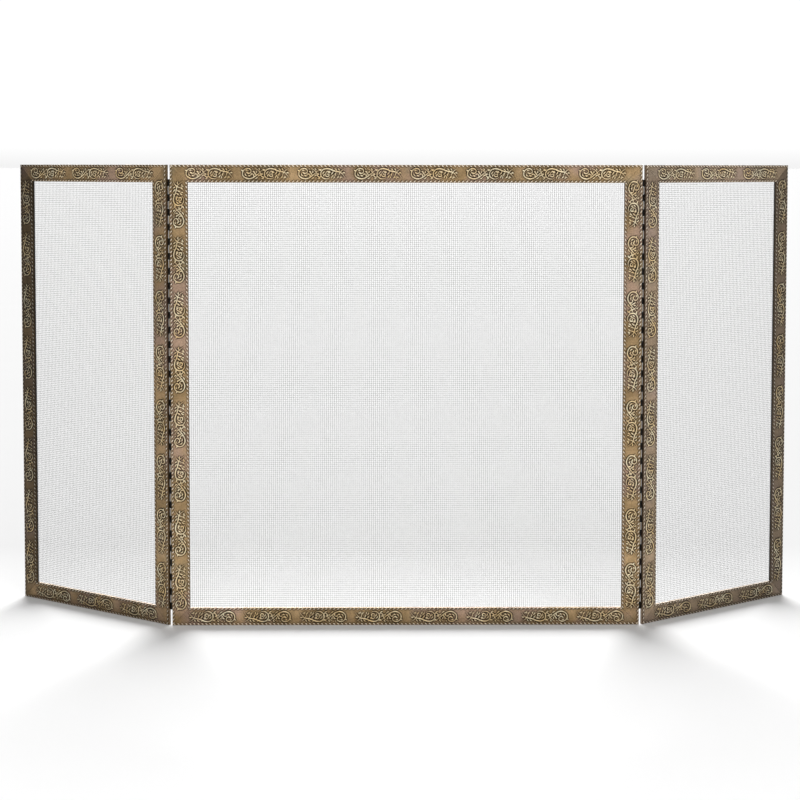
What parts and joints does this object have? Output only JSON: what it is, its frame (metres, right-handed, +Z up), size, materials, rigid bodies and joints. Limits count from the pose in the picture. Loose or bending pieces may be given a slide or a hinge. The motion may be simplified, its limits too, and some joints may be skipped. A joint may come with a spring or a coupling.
{
  "type": "folding fireplace screen",
  "caption": "Free-standing folding fireplace screen: an embossed brass-finished frame with woven wire mesh, flanked by hinged wings.",
  "frame": {"origin": "on the floor, under the middle of the screen's footprint with the wings at rest", "axes": "+X to the right across the center panel, +Y from the front towards the hearth, +Z up"},
  "size_m": [1.4096, 0.2002, 0.8],
  "materials": {
    "antique_brass": "satin",
    "wire_mesh": "satin",
    "dark_steel": "matte",
    "hinge_brass": "satin",
    "hinge_black": "matte"
  },
  "bodies": {
    "center_panel": {"center_left_stile": "antique_brass", "center_left_retainer": "dark_steel", "center_bottom_left_corner_plate": "dark_steel", "center_top_rail": "antique_brass", "center_top_retainer": "dark_steel", "center_top_left_corner_plate": "dark_steel", "center_right_stile": "antique_brass", "center_right_retainer": "dark_steel", "center_top_right_corner_plate": "dark_steel", "center_bottom_rail": "antique_brass", "center_bottom_retainer": "dark_steel", "center_bottom_right_corner_plate": "dark_steel", "center_mesh": "wire_mesh", "left_hinge_center_leaf": "hinge_brass", "left_hinge_pin": "dark_steel", "left_hinge_center_screw_1": "hinge_brass", "left_hinge_center_screw_2": "hinge_brass", "left_hinge_center_screw_3": "hinge_brass", "right_hinge_center_leaf": "hinge_brass", "right_hinge_pin": "dark_steel", "right_hinge_center_screw_1": "hinge_brass", "right_hinge_center_screw_2": "hinge_brass", "right_hinge_center_screw_3": "hinge_brass"},
    "left_wing": {"left_wing_left_stile": "antique_brass", "left_wing_left_retainer": "dark_steel", "left_wing_bottom_left_corner_plate": "dark_steel", "left_wing_top_rail": "antique_brass", "left_wing_top_retainer": "dark_steel", "left_wing_top_left_corner_plate": "dark_steel", "left_wing_right_stile": "antique_brass", "left_wing_right_retainer": "dark_steel", "left_wing_top_right_corner_plate": "dark_steel", "left_wing_bottom_rail": "antique_brass", "left_wing_bottom_retainer": "dark_steel", "left_wing_bottom_right_corner_plate": "dark_steel", "left_wing_mesh": "wire_mesh", "left_hinge_wing_leaf": "hinge_black", "left_hinge_wing_screw_1": "hinge_brass", "left_hinge_wing_screw_2": "hinge_brass", "left_hinge_wing_screw_3": "hinge_brass"},
    "right_wing": {"right_wing_left_stile": "antique_brass", "right_wing_left_retainer": "dark_steel", "right_wing_bottom_left_corner_plate": "dark_steel", "right_wing_top_rail": "antique_brass", "right_wing_top_retainer": "dark_steel", "right_wing_top_left_corner_plate": "dark_steel", "right_wing_right_stile": "antique_brass", "right_wing_right_retainer": "dark_steel", "right_wing_top_right_corner_plate": "dark_steel", "right_wing_bottom_rail": "antique_brass", "right_wing_bottom_retainer": "dark_steel", "right_wing_bottom_right_corner_plate": "dark_steel", "right_wing_mesh": "wire_mesh", "right_hinge_wing_leaf": "hinge_black", "right_hinge_wing_screw_1": "hinge_brass", "right_hinge_wing_screw_2": "hinge_brass", "right_hinge_wing_screw_3": "hinge_brass"}
  },
  "joints": [
    {"name": "left_wing_hinge", "type": "hinge", "parent": "center_panel", "child": "left_wing", "pos_m": [-0.4072, -0.09152, 0.4], "axis": [0, 0, -1], "range_deg": [-46.5, 144.5]},
    {"name": "right_wing_hinge", "type": "hinge", "parent": "center_panel", "child": "right_wing", "pos_m": [0.4072, -0.09152, 0.4], "axis": [0, 0, 1], "range_deg": [-46.5, 144.5]}
  ]
}
